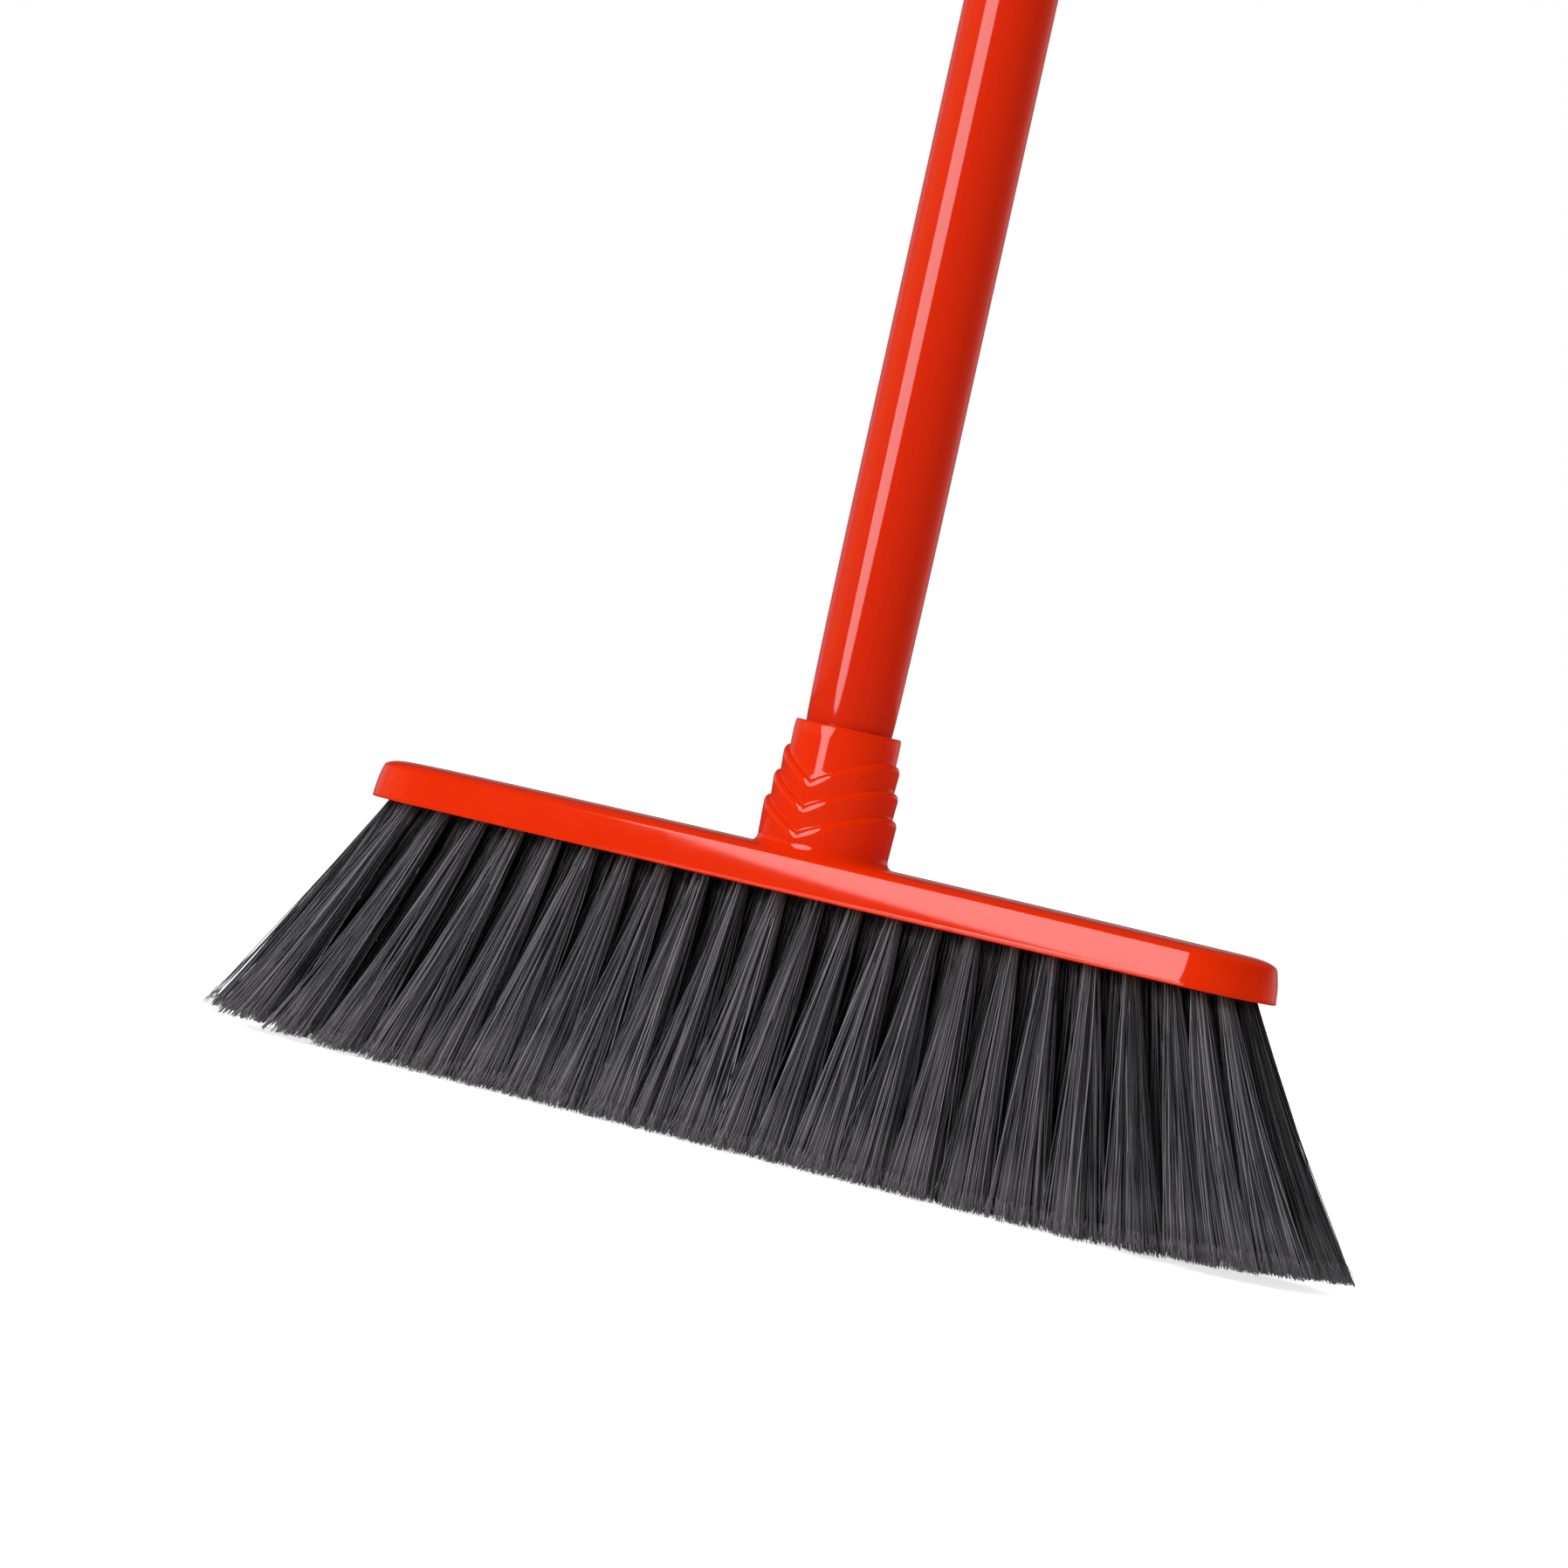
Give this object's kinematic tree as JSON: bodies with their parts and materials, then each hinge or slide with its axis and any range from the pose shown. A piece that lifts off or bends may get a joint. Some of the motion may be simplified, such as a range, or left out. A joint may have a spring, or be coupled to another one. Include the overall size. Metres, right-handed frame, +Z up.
{
  "type": "indoor broom",
  "caption": "Indoor broom: a long moulded head with a stepped chevron socket and flared soft bristles, on a round handle that screws in and ends in a hanging eye.",
  "frame": {"origin": "on the handle's axis, in the plane that the trimmed bristles stand on", "axes": "+Z up along the handle, X along the head, -Y to the front"},
  "size_m": [0.3566, 0.0708, 1.248],
  "materials": {
    "head": "glossy injection-moulded polypropylene, red",
    "tube": "glossy plastic-coated steel tube, red",
    "thread": "moulded plastic, grey",
    "cap": "injection-moulded plastic, red",
    "filament": "flagged synthetic filament, dark grey"
  },
  "bodies": {
    "head": {"head_block": "head", "tuft_column_01": "filament", "tuft_column_02": "filament", "tuft_column_03": "filament", "tuft_column_04": "filament", "tuft_column_05": "filament", "tuft_column_06": "filament", "tuft_column_07": "filament", "tuft_column_08": "filament", "tuft_column_09": "filament", "tuft_column_10": "filament", "tuft_column_11": "filament", "tuft_column_12": "filament", "tuft_column_13": "filament", "tuft_column_14": "filament", "tuft_column_15": "filament", "tuft_column_16": "filament", "tuft_column_17": "filament", "tuft_column_18": "filament", "tuft_column_19": "filament", "tuft_column_20": "filament", "tuft_end_left": "filament", "tuft_end_right": "filament"},
    "handle": {"handle_tube": "tube"},
    "handle_ends": {"thread_tip": "thread", "hanger_cap": "cap"}
  },
  "joints": [
    {"name": "handle_lift", "type": "slide", "parent": "head", "child": "handle", "axis": [0, 0, 1], "range_m": [0, 0.0203]},
    {"name": "handle_turn", "type": "hinge", "parent": "handle", "child": "handle_ends", "pos_m": [0, 0, 0.1172], "axis": [0, 0, 1], "range_deg": [0, 1440]}
  ],
  "couplings": [
    {"joint": "handle_turn", "follows": "handle_lift", "rad_per_m": 1236.8}
  ]
}
